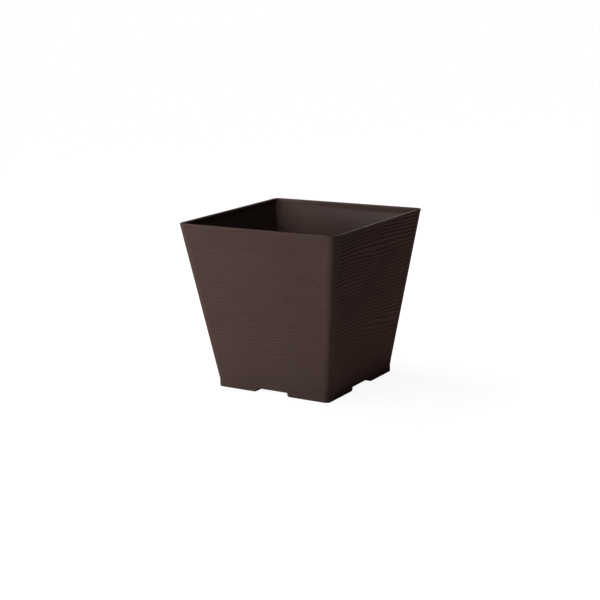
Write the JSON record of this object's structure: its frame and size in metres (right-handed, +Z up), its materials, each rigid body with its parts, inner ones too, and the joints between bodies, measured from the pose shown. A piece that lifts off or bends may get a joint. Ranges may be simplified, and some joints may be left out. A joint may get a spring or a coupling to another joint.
{
  "type": "square plant pot",
  "caption": "Tapered square plastic plant pot with wood-grain outer walls, a rounded rim lip, corner feet with side notches, drain slots and a lift-out slatted drainage grid.",
  "frame": {"origin": "middle of the square footprint, on the ground that the four feet stand on", "axes": "+Z up out of the pot's mouth, +X and +Y square to two of its four like sides"},
  "size_m": [0.3, 0.3, 0.284],
  "materials": {
    "pot_plastic": "matte, chocolate brown, wood-grain relief outside and smooth inside",
    "grid_plastic": "matte, darker brown, smooth"
  },
  "bodies": {
    "pot": {"pot_body": "pot_plastic"},
    "grid": {"drain_grid": "grid_plastic"}
  },
  "joints": [
    {"name": "grid_lift", "type": "slide", "parent": "pot", "child": "grid", "axis": [0, 0, 1], "range_m": [0, 0.28]}
  ]
}
